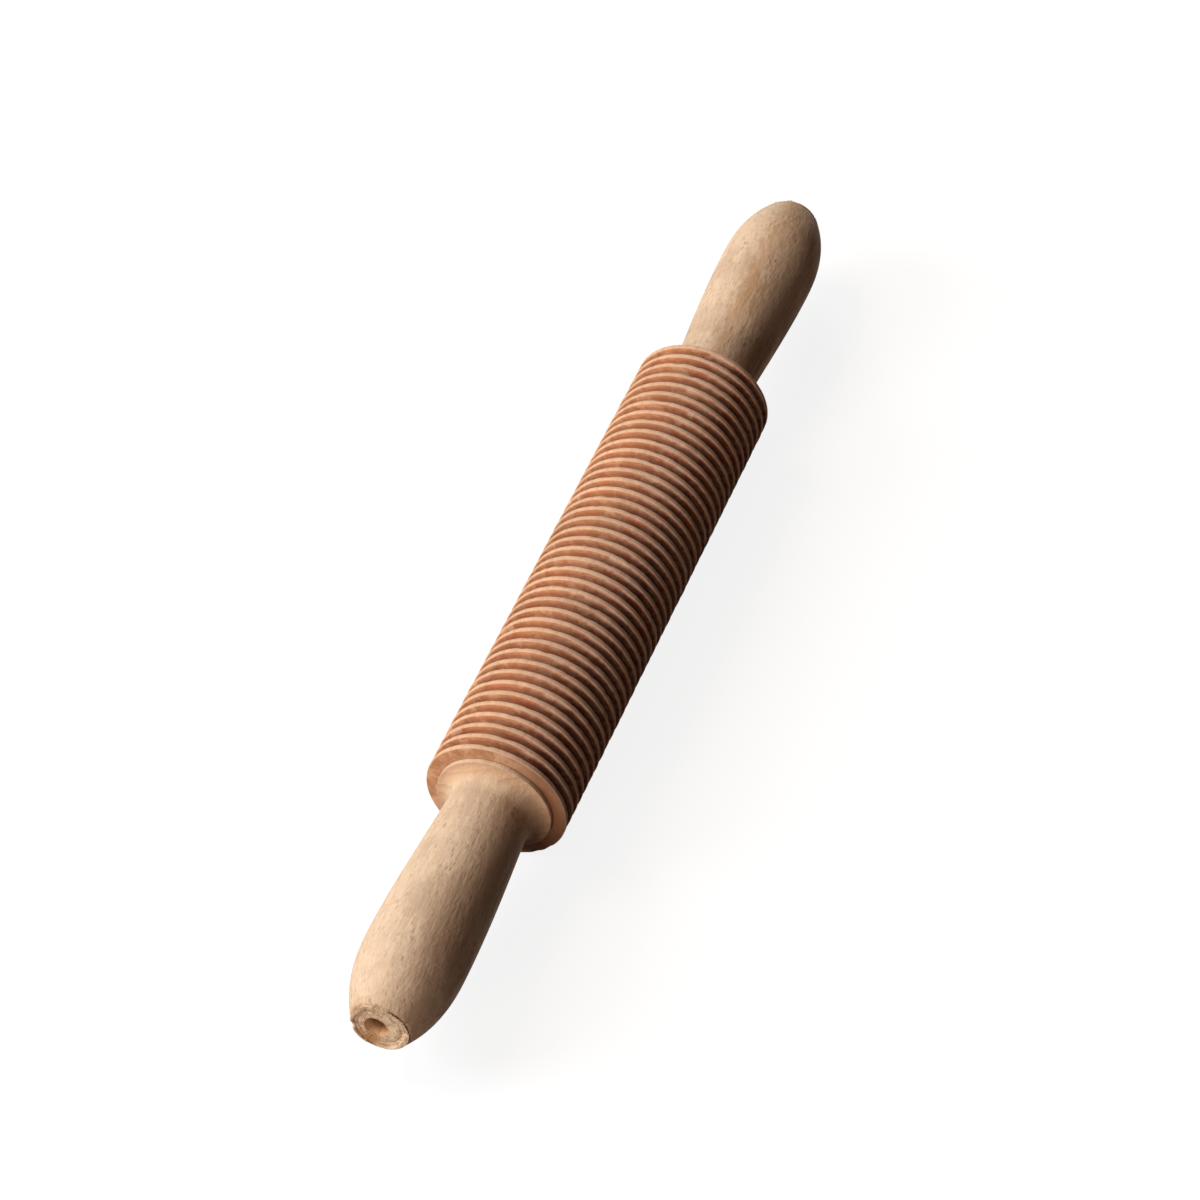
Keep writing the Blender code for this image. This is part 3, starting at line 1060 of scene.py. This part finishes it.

# %% Roller material: colours
# Towards -Y, the side in shade, the ring tops turn greyer and the flanks paler: partly the wood's own tone,
# partly painted light.
shade_side_tone = ramp(tree, across, 0.017, -0.013)
shade_side_grey = ramp(tree, across, -0.002, -0.016)
# Painted light: a strip beside the top on the +Y side, where the flanks are paler and the grooves less
# dark.
painted_light_strip = times(tree, ramp(tree, across, -0.004, 0.009), ramp(tree, across, 0.0125, 0.009))
long_wood = stained(
    tree,
    (0.755, 0.468, 0.285, 1),
    # Greyer ring tops towards -Y: partly the wood, partly painted light.
    (shade_side_tone, 1.0, (0.71, 0.495, 0.37)),
    (rings["Late Wood"], 1.0, (0.59, 0.335, 0.20)),
    (fibres["Streak"], 0.35, (0.58, 0.32, 0.195)),
    (flecks["Fleck"], 0.45, (0.42, 0.21, 0.11)),
)
drift = calc(tree, "MULTIPLY_ADD", handled["Mottle"], 0.45, rings["Slow Change"])
drift = ramp(tree, drift, 0.50, 0.92)
fuzzy = cloud(tree, scaled(tree, position, (420, 150, 150)), 3.0, 0.6)
cut_wood = stained(
    tree,
    (0.64, 0.295, 0.15, 1),
    # Paler, greyer flanks towards -Y: partly the wood, partly painted light.
    (shade_side_tone, 1.0, (0.68, 0.335, 0.20)),
    (shade_side_grey, 1.0, (0.75, 0.45, 0.32)),
    (drift, 1.0, (0.50, 0.19, 0.092)),
    (rings["Late Wood"], 0.5, (0.44, 0.165, 0.075)),
    (ramp(tree, fuzzy, 0.56, 0.64), 0.65, (0.88, 0.54, 0.33)),
    (ramp(tree, fuzzy, 0.43, 0.35), 0.70, (0.62, 0.18, 0.075)),
    (fibres["Pore"], 0.35, (0.28, 0.10, 0.045)),
    # Painted light on the flanks in that strip.
    (painted_light_strip, 0.38, (0.90, 0.42, 0.20)),
)
rubbed = calc(tree, "MULTIPLY_ADD", calc(tree, "SUBTRACT", fibres["Fine Streak"], 0.5), 0.05, deep)
on_flank = ramp(tree, rubbed, 0.012, 0.085)
# Painted shade: the grooves darken most low down on the side towards -Y.
painted_groove_shade = times(tree, ramp(tree, deep, 0.22, 0.80), ramp(tree, across, -0.008, -0.015))
# Darker towards the groove bottoms: partly cutter rub, partly painted shade, eased in the painted light
# strip.
groove_rub_and_shade = calc(tree, "MULTIPLY_ADD", painted_light_strip, -0.45, 1.0)
groove_rub_and_shade = times(tree, groove_rub_and_shade, ramp(tree, deep, 0.38, 1.0))
fuzz = times(tree, marked(tree, "ring_edge"), ramp(tree, fibres["Fine Streak"], 0.2, 0.8))
wood = stained(
    tree,
    tint(tree, on_flank, long_wood, cut_wood),
    # Groove bottoms darkened, partly by cutter rub and partly as painted shade.
    (groove_rub_and_shade, 0.54, (0.20, 0.055, 0.022)),
    # Painted shade low in the grooves towards -Y.
    (painted_groove_shade, 0.85, (0.06, 0.014, 0.005)),
    (fuzz, 0.25, (0.88, 0.64, 0.46)),
    (handled["Patch"], 0.24, (0.54, 0.29, 0.16)),
)
# Painted shadow: the roller's end faces darken towards -Y, where the handles shade them.
end_face_shadow = ramp(tree, across, 0.002, -0.015)
face_wood = stained(
    tree,
    (0.66, 0.36, 0.20, 1),
    (drift, 1.0, (0.54, 0.26, 0.13)),
    (ramp(tree, fuzzy, 0.50, 0.60), 0.60, (0.84, 0.52, 0.315)),
    (ramp(tree, fuzzy, 0.46, 0.36), 0.65, (0.47, 0.20, 0.095)),
    # Painted shadow towards -Y.
    (end_face_shadow, 0.92, (0.28, 0.115, 0.046)),
    (fibres["Pore"], 0.50, (0.38, 0.175, 0.085)),
    (handled["Speck"], 0.6, (0.26, 0.11, 0.05)),
)
wood = tint(tree, times(tree, marked(tree, "end_face"), 0.90), wood, face_wood)
own_shade = calc(tree, "MULTIPLY_ADD", marked(tree, "ring_shade"), 0.045, 1.0)
own_shade = wire(tree, "ShaderNodeCombineColor", {0: own_shade, 1: own_shade, 2: own_shade}).outputs[0]
wood = tint(tree, 1.0, wood, own_shade, "MULTIPLY")
print("roller_beech:", len(tree.nodes), "nodes with its colours")

# %% Roller material: shine and relief
roughness = ramp(tree, fibres["Streak"], 0.0, 1.0, 0.62, 0.78)
roughness = calc(tree, "MULTIPLY_ADD", on_flank, 0.12, roughness)
torn = times(tree, fibres["Pore"], on_flank)
heights = [
    (tools["Mark"], 0.06),
    (calc(tree, "SUBTRACT", 1.0, torn), 0.05),
    (fibres["Fine Streak"], 0.035),
    (handled["Mottle"], 0.05),
]
finish_material(roller_beech, wood, roughness, heights, Specular_IOR_Level=0.09)
roller.data.materials.append(roller_beech)

# %% [markdown]
# ## The handles' wood
#
# The handles are paler beech, sanded and left bare. Up close they show small dark dashes, thin streaks
# along the grain and soft brownish patches where they were held. The far handle was turned from the edge
# of a redder heart, so an orange-brown cloud runs along its top. Its side away from the windows is redder
# and darker, partly from that heart and partly as painted shade. The sawn tip is end grain, but it is
# torn and dusty, so its lip is pale. Painted shade darkens the groove at the lip's foot, the chip in the
# rim and the undercut behind the lip. The bored hole is brown from the heat of the drill, and painted
# shade darkens it further down.

# %% Handle material


def handle_material(name, heart, shift, cloud_angle, cloud_strength, red_and_shade_side):
    """Bare beech. cloud_angle is where the darker heart cloud lies, measured from the top towards +Y.
    The last argument says how strongly the side towards -Y is stained redder and darker, partly for the
    heart and partly as painted shade."""
    material, tree, position = new_material(name)
    trunk = place_group(tree, trunk_group, Position=position, Heart=heart, Wander=0.005, Shift=shift)
    inside = {"In_Trunk": trunk["In Trunk"]}
    placed = {"Position": position, "Shift": shift}
    rings = place_group(
        tree, rings_group, Radius=trunk["Radius"], Ring_Width=0.0031, Sharpness=2.4, **inside
    )
    flecks = place_group(
        tree, flecks_group, Length=0.0022, Thickness=0.00038, Depth=0.003, Amount=0.38, **inside
    )
    fibres = place_group(tree, fibres_group, Length=0.014, Width=0.0004, **placed)
    handled = place_group(tree, handling_group, Patch_Size=0.013, Specks=0.22, **placed)
    facing_along = marked(tree, "end_grain")
    tools = place_group(tree, tool_group, Position=position, Facing_Along=facing_along, Step=0.0006)

    parts = split(tree, position)
    off = calc(tree, "SUBTRACT", calc(tree, "ARCTAN2", parts[1], parts[2]), cloud_angle)
    uneven = times(tree, calc(tree, "SUBTRACT", handled["Mottle"], 0.5), 0.50)
    band = ramp(tree, calc(tree, "ADD", calc(tree, "ABSOLUTE", off), uneven), 0.44, 0.0)
    band = times(tree, band, ramp(tree, handled["Patch"], 0.1, 0.9, 0.75, 1.0))
    sideways = calc(tree, "DIVIDE", parts[1], out_from_axis(tree, parts[1], parts[2]))
    long_wood = stained(
        tree,
        (0.82, 0.61, 0.44, 1),
        (rings["Late Wood"], 0.45, (0.62, 0.43, 0.275)),
        (rings["Slow Change"], 0.34, (0.64, 0.46, 0.32)),
        (fibres["Streak"], 0.28, (0.58, 0.405, 0.265)),
        (fibres["Fine Streak"], 0.26, (0.56, 0.385, 0.25)),
        (fibres["Pore"], 0.30, (0.47, 0.31, 0.19)),
        (flecks["Fleck"], 0.74, (0.40, 0.24, 0.14)),
        (ramp(tree, handled["Patch"], 0.40, 0.90), 0.50, (0.49, 0.33, 0.225)),
        (handled["Mottle"], 0.28, (0.54, 0.37, 0.24)),
        (band, cloud_strength, (0.52, 0.295, 0.145)),
        # Redder and darker towards -Y: partly the heart, partly painted shade.
        (ramp(tree, sideways, -0.74, -0.92), red_and_shade_side, (0.46, 0.22, 0.11)),
    )
    sawn = marked(tree, "sawn_face")
    dark_spots = times(tree, sawn, ramp(tree, handled["Mottle"], 0.50, 0.85))
    pale_spots = times(tree, sawn, ramp(tree, handled["Mottle"], 0.45, 0.20))
    cut_wood = stained(
        tree,
        (0.70, 0.44, 0.265, 1),
        (rings["Late Wood"], 1.0, (0.50, 0.285, 0.155)),
        (sawn, 0.95, (0.94, 0.68, 0.45)),
        (fibres["Pore"], 0.45, (0.42, 0.235, 0.13)),
        (handled["Mottle"], 0.22, (0.56, 0.33, 0.18)),
        (dark_spots, 0.65, (0.53, 0.315, 0.175)),
        (pale_spots, 0.50, (0.98, 0.75, 0.53)),
    )
    end_grain = ramp(tree, facing_along, 0.35, 0.85)
    uneven = ramp(tree, handled["Mottle"], 0.1, 0.8, 0.25, 1.0)
    foot = times(tree, marked(tree, "lip_foot_shade"), uneven)
    splinters = ramp(tree, fibres["Fine Streak"], 0.25, 0.75, 0.15, 1.0)
    lip = times(tree, marked(tree, "torn_lip"), splinters)
    wood = stained(
        tree,
        tint(tree, times(tree, end_grain, 0.85), long_wood, cut_wood),
        # Painted shade in the groove at the lip's foot.
        (foot, 0.90, (0.30, 0.17, 0.09)),
        (marked(tree, "scorched"), 0.85, (0.50, 0.245, 0.085)),
        (lip, 0.85, (0.86, 0.575, 0.35)),
        # Painted shade in the chip and in the undercut behind the lip.
        (marked(tree, "chip_shade"), 0.80, (0.31, 0.175, 0.09)),
        (marked(tree, "bored_hole"), 0.88, (0.66, 0.36, 0.17)),
        # Painted shade deeper down the hole.
        (marked(tree, "hole_depth_shade"), 0.85, (0.26, 0.115, 0.05)),
        (handled["Speck"], 0.80, (0.27, 0.155, 0.09)),
    )
    roughness = ramp(tree, fibres["Streak"], 0.0, 1.0, 0.58, 0.72)
    roughness = calc(tree, "MULTIPLY_ADD", end_grain, 0.18, roughness)
    crumbled = times(tree, sawn, fibres["Pore"])
    heights = [
        (tools["Mark"], 0.05),
        (calc(tree, "SUBTRACT", 1.0, crumbled), 0.16),
        (fibres["Fine Streak"], 0.022),
        (calc(tree, "SUBTRACT", 1.0, flecks["Fleck"]), 0.020),
        (handled["Mottle"], 0.06),
        (handled["Patch"], 0.16),
    ]
    finish_material(material, wood, roughness, heights, Specular_IOR_Level=0.09)
    return material


# The last number of each row makes the side towards -Y redder and darker, partly for the heart and partly
# as painted shade.
near_wood = ((0.0, -0.030, -0.060), (0.0, 0.0, 0.0), -0.55, 0.12, 0.0)
far_wood = ((0.0, 0.022, -0.050), (0.31, 0.07, 0.02), -0.14, 0.70, 0.6)
for side, wood in (("left", near_wood), ("right", far_wood)):
    handles[side].data.materials.append(handle_material("handle_beech_" + side, *wood))

# %% [markdown]
# ## Steel and nylon
#
# The axle, the washers and the screws are bright turned steel: grey metal with fine tool lines that stretch
# its reflections, and a faint brown bloom. The bushes are natural nylon, an off-white plastic that lets a
# little light into itself and shows the lines of the lathe. The surface's own direction says where the tool
# lines run, as it does on the wood.

# %% Steel material


def facing_of(tree):
    """How much a surface faces along the pin, for pieces whose mesh carries no marks."""
    return calc(tree, "ABSOLUTE", split(tree, tree.nodes["Texture Coordinate"].outputs["Normal"])[0])


bright_steel, tree, position = new_material("bright_steel")
tools = place_group(
    tree, tool_group, Position=position, Facing_Along=facing_of(tree), Step=0.00012, Break_Up=0.3
)
handled = place_group(
    tree, handling_group, Position=position, Patch_Size=0.006, Speck_Size=0.0012, Specks=0.2
)
metal = stained(
    tree,
    (0.58, 0.575, 0.565, 1),
    (ramp(tree, handled["Patch"], 0.45, 1.0), 0.35, (0.34, 0.27, 0.21)),
    (handled["Speck"], 0.5, (0.16, 0.11, 0.08)),
)
roughness = ramp(tree, handled["Mottle"], 0.0, 1.0, 0.24, 0.42)
heights = [(tools["Mark"], 0.010), (handled["Mottle"], 0.004)]
finish_material(bright_steel, metal, roughness, heights, Metallic=1.0)

# %% Nylon material
white_nylon, tree, position = new_material("white_nylon")
tools = place_group(
    tree, tool_group, Position=position, Facing_Along=facing_of(tree), Step=0.00025, Break_Up=0.6
)
handled = place_group(
    tree, handling_group, Position=position, Patch_Size=0.008, Speck_Size=0.002, Specks=0.12
)
plastic = stained(
    tree,
    (0.80, 0.785, 0.745, 1),
    (handled["Patch"], 1.0, (0.72, 0.68, 0.60)),
    (handled["Speck"], 0.4, (0.45, 0.36, 0.26)),
)
roughness = ramp(tree, handled["Mottle"], 0.0, 1.0, 0.38, 0.55)
heights = [(tools["Mark"], 0.014), (handled["Mottle"], 0.006)]
milky = {"Subsurface_Weight": 0.15, "Subsurface_Scale": 0.001}
finish_material(white_nylon, plastic, roughness, heights, **milky)

# %% Put steel and nylon on their pieces
for name in ("axle", "left_thrust_washer", "right_thrust_washer"):
    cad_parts[name].material_slots[0].material = bright_steel
for name in ("left_bush", "right_bush"):
    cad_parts[name].material_slots[0].material = white_nylon
for side in ("left", "right"):
    handles[side + "_screw"].data.materials.append(bright_steel)
print("pieces in steel:", bright_steel.users, "and in nylon:", white_nylon.users)

# %% [markdown]
# ## Floor, light and camera
#
# The photograph was taken in window light from one side, low and soft, with little light from the other
# side. Three softboxes stand for a wide bank of windows: a bright cool one low on the left, a warmer one
# above it and a weak one farther along. A fourth, at the near end, shows the ends and the flanks of the
# rings. The floor is white to the camera and to reflections, and keeps the pin's shadow, but light that
# bounces off it is dim and brown, as if from a wooden table, or it would wash out the pin's dark side.

# %% Lay the floor
floor_mesh = bpy.data.meshes.new("studio_floor")
reach = 6.0
floor_level = (-roller_radius - 0.05) * MM
corners = [(reach * x, reach * y, floor_level) for x, y in ((-1, -1), (1, -1), (1, 1), (-1, 1))]
floor_mesh.from_pydata(corners, [], [(0, 1, 2, 3)])
floor = bpy.data.objects.new("studio_floor", floor_mesh)
bpy.context.scene.collection.objects.link(floor)
print("the floor lies at", round(floor_level / MM, 2), "mm")

# %% Give the floor its paper


def seen_directly(tree):
    """1 for the camera, for reflections and for what shows through glass, and 0 for bounced light."""
    path = tree.nodes.new("ShaderNodeLightPath").outputs
    seen = calc(tree, "MAXIMUM", path["Is Camera Ray"], path["Is Glossy Ray"])
    return calc(tree, "MAXIMUM", seen, path["Is Transmission Ray"])


paper = bpy.data.materials.new("floor_paper")
paper.use_nodes = True
tree = paper.node_tree
tree.nodes.remove(tree.nodes["Principled BSDF"])
shown = wire(tree, "ShaderNodeBsdfDiffuse", {"Color": (0.20, 0.20, 0.20, 1)}).outputs[0]
glow = wire(tree, "ShaderNodeEmission", {"Color": (1, 1, 1, 1), "Strength": 0.87}).outputs[0]
bright = wire(tree, "ShaderNodeAddShader", {0: shown, 1: glow}).outputs[0]
bounced = wire(tree, "ShaderNodeBsdfDiffuse", {"Color": (0.10, 0.060, 0.040, 1)}).outputs[0]
mixed = wire(tree, "ShaderNodeMixShader", {0: seen_directly(tree), 1: bounced, 2: bright}).outputs[0]
tree.links.new(mixed, tree.nodes["Material Output"].inputs["Surface"])
floor_mesh.materials.append(paper)
print("floor_paper:", len(tree.nodes), "nodes")

# %% Light the pin
lamp_distance = 2.4
lamp_width = 1.0


def softbox(name, angles, height, brightness, colour):
    """A flat lamp. angles are degrees round from +Y towards +X and up from the floor. brightness is how
    bright it would make a white card that faces it."""
    lamp = bpy.data.lights.new(name, "AREA")
    lamp.shape = "RECTANGLE"
    lamp.size = lamp_width
    lamp.size_y = height
    lamp.energy = brightness * math.pi**2 * lamp_distance**2
    lamp.color = colour
    holder = bpy.data.objects.new(name, lamp)
    bpy.context.scene.collection.objects.link(holder)
    around, up = (math.radians(angle) for angle in angles)
    towards = Vector((math.cos(up) * math.sin(around), math.cos(up) * math.cos(around), math.sin(up)))
    holder.location = towards * lamp_distance
    holder.rotation_euler = (-towards).to_track_quat("-Z", "Y").to_euler()
    print(name, round(lamp.energy, 1), "W")


softbox("window", (-27, 28), 0.9, 0.83, (0.83, 0.95, 1.0))
softbox("high_window", (0, 53), 0.9, 0.39, (1.0, 0.83, 0.69))
softbox("far_window", (52, 28), 0.9, 0.27, (1.0, 1.0, 1.0))
softbox("end_window", (-80, 22), 0.6, 0.40, (1.0, 0.86, 0.79))

# %% Fill the room with a little warm light
world = bpy.data.worlds.new("studio")
world.use_nodes = True
bpy.context.scene.world = world
tree = world.node_tree
dim = wire(tree, "ShaderNodeBackground", {"Color": (1.0, 0.56, 0.34, 1), "Strength": 0.027}).outputs[0]
white = tree.nodes["Background"]
white.inputs["Color"].default_value = (1, 1, 1, 1)
white.inputs["Strength"].default_value = 1.0
mixed = wire(tree, "ShaderNodeMixShader", {0: seen_directly(tree), 1: dim, 2: white.outputs[0]}).outputs[0]
tree.links.new(mixed, tree.nodes["World Output"].inputs["Surface"])
print("world:", len(tree.nodes), "nodes")

# %% [markdown]
# The camera stands above the left handle and looks along the pin, so the roller runs away to the upper
# right. Its place and its long lens were worked out from the pin's outline in the photograph.

# %% Set up the camera
lens = bpy.data.cameras.new("camera")
lens.lens = 127.515
lens.sensor_width = 36.0
lens.clip_start = 0.01
camera = bpy.data.objects.new("camera", lens)
bpy.context.scene.collection.objects.link(camera)
camera.location = (-0.742929, -0.279698, 0.866466)
aim = Vector((-0.002244, 0.000232, -0.001839))
camera.rotation_euler = (aim - camera.location).to_track_quat("-Z", "Y").to_euler()
bpy.context.scene.camera = camera
bpy.context.scene.view_settings.view_transform = "Standard"
print("camera is", round((aim - camera.location).length, 3), "m from the pin")
